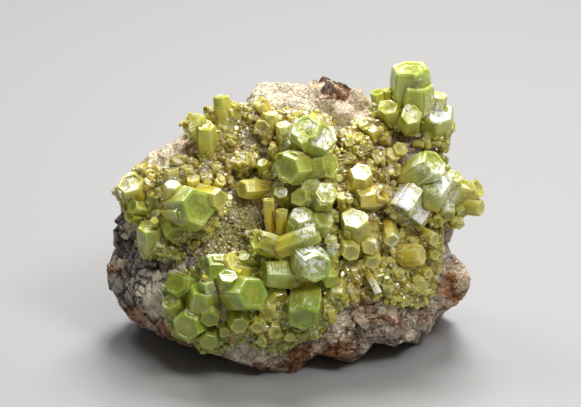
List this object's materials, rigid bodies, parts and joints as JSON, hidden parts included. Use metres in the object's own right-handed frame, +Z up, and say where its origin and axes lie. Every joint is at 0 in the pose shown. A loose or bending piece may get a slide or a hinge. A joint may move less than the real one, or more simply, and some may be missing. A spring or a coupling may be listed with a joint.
{
  "type": "pyromorphite specimen",
  "caption": "Cabinet specimen of barrel-shaped six-sided pyromorphite crystals on a loose block of vein quartz, for display on a flat surface.",
  "frame": {"origin": "middle of the flat broken foot that the block rests on", "axes": "+Z up, +X to the right along the length of the block, -Y out of the display face"},
  "size_m": [0.0761, 0.0493, 0.0578],
  "materials": {
    "quartz_matrix": "rough broken vein quartz, cream and grey with rust stains",
    "green_crystal": "waxy translucent green, paler on the edges",
    "yellow_crystal": "waxy translucent yellow-green"
  },
  "bodies": {
    "root": {"quartz_matrix": "quartz_matrix", "centre_crystals": "green_crystal", "crown_crystals": "green_crystal", "right_crystals": "green_crystal", "left_crystals": "green_crystal", "lower_left_crystals": "green_crystal", "upper_left_crystals": "yellow_crystal"}
  },
  "joints": []
}
